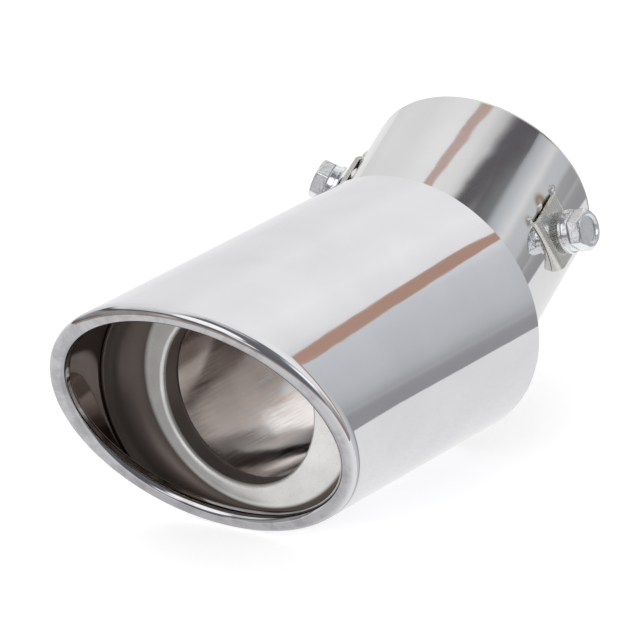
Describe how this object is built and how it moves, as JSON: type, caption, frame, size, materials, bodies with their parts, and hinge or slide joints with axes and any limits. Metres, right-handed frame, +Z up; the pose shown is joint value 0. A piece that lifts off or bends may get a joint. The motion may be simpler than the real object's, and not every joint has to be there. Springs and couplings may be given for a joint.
{
  "type": "exhaust tip",
  "caption": "Oval exhaust tip with a slanted rolled mouth, inner baffle and tube, a bent round inlet pipe and clamp screws that grip a tailpipe.",
  "frame": {"origin": "centre of the inlet pipe's open end", "axes": "+Y back along the shell's axis, away from the mouth; +Z up; +X to the right as seen from the mouth"},
  "size_m": [0.0876, 0.173, 0.0832],
  "materials": {
    "polished_shell": "mirror-polished stainless steel",
    "satin_baffle": "satin stainless steel",
    "polished_tube": "polished stainless steel",
    "bracket_steel": "satin folded sheet",
    "zinc_screw": "bright zinc plate"
  },
  "bodies": {
    "tip": {"outer_shell": "polished_shell", "front_baffle": "satin_baffle", "inner_tube": "polished_tube", "rear_cap": "polished_shell", "inlet_pipe": "polished_shell", "right_clamp_bracket": "bracket_steel", "left_clamp_bracket": "bracket_steel"},
    "right_washers": {"right_spring_washer": "zinc_screw", "right_flat_washer": "zinc_screw"},
    "right_bolt": {"right_clamp_bolt": "zinc_screw"},
    "left_washers": {"left_spring_washer": "zinc_screw", "left_flat_washer": "zinc_screw"},
    "left_bolt": {"left_clamp_bolt": "zinc_screw"}
  },
  "joints": [
    {"name": "right_bolt_travel", "type": "slide", "parent": "tip", "child": "right_washers", "axis": [0.9397, 0.0605, 0.3365], "range_m": [-0.0011, 0.001]},
    {"name": "right_bolt_turn", "type": "hinge", "parent": "right_washers", "child": "right_bolt", "pos_m": [0.03955, -0.01316, 0.00157], "axis": [0.9397, 0.0605, 0.3365], "range_deg": [-400, 364]},
    {"name": "left_bolt_travel", "type": "slide", "parent": "tip", "child": "left_washers", "axis": [-0.8919, -0.3021, 0.3365], "range_m": [-0.0011, 0.001]},
    {"name": "left_bolt_turn", "type": "hinge", "parent": "left_washers", "child": "left_bolt", "pos_m": [-0.03155, -0.02724, 0.00157], "axis": [-0.8919, -0.3021, 0.3365], "range_deg": [-400, 364]}
  ],
  "couplings": [
    {"joint": "right_bolt_turn", "follows": "right_bolt_travel", "rad_per_m": 6283.2},
    {"joint": "left_bolt_turn", "follows": "left_bolt_travel", "rad_per_m": 6283.2}
  ]
}
